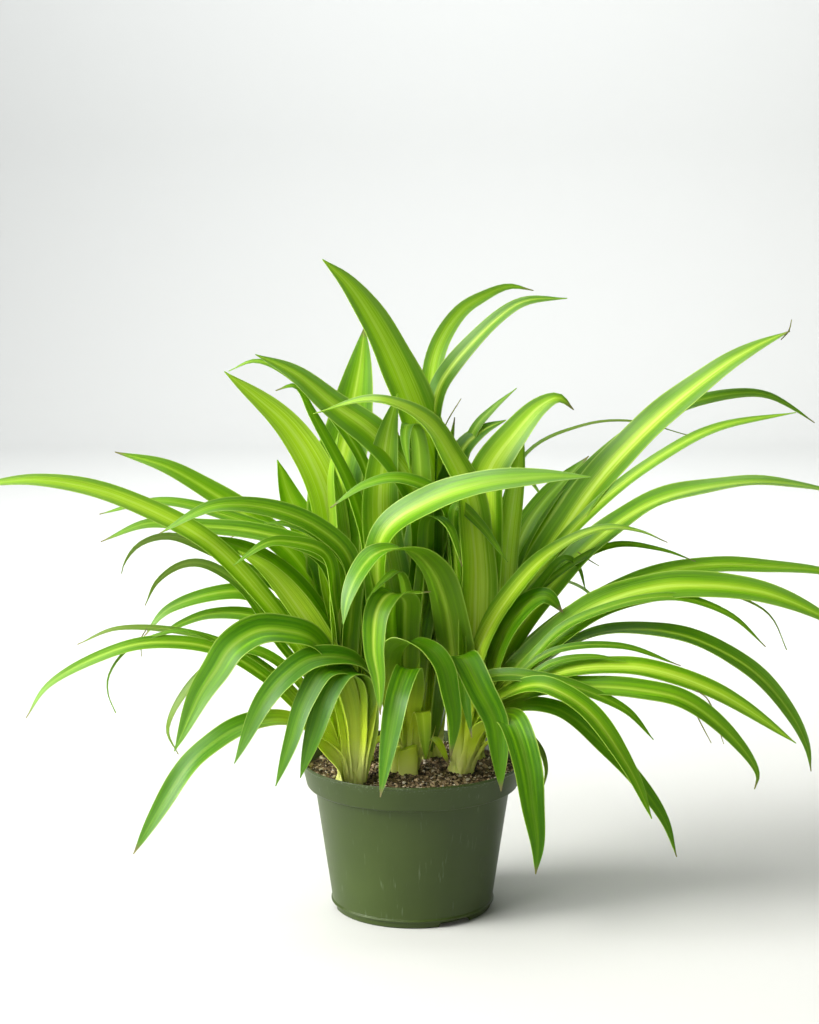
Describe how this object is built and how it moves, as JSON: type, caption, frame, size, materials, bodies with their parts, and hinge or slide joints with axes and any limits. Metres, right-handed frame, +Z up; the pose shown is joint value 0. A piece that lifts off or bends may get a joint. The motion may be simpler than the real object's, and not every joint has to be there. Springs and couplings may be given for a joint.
{
  "type": "potted spider plant",
  "caption": "Leafy house plant with long arching striped strap leaves that grow in crowns from dark soil in a round tapered plastic nursery pot.",
  "frame": {"origin": "centre of the pot's flat underside, on the pot's axis", "axes": "+Z up along the pot's axis, -Y toward the front of the plant as pictured, +X toward its right"},
  "size_m": [0.6002, 0.2837, 0.4484],
  "materials": {
    "pot": "satin",
    "soil": "matte",
    "leaf": "satin"
  },
  "bodies": {
    "root": {"pot": "pot", "soil": "soil", "crown_left": "leaf", "crown_right": "leaf", "crown_middle": "leaf", "crown_back": "leaf", "crown_back_left": "leaf", "crown_back_right": "leaf"}
  },
  "joints": []
}
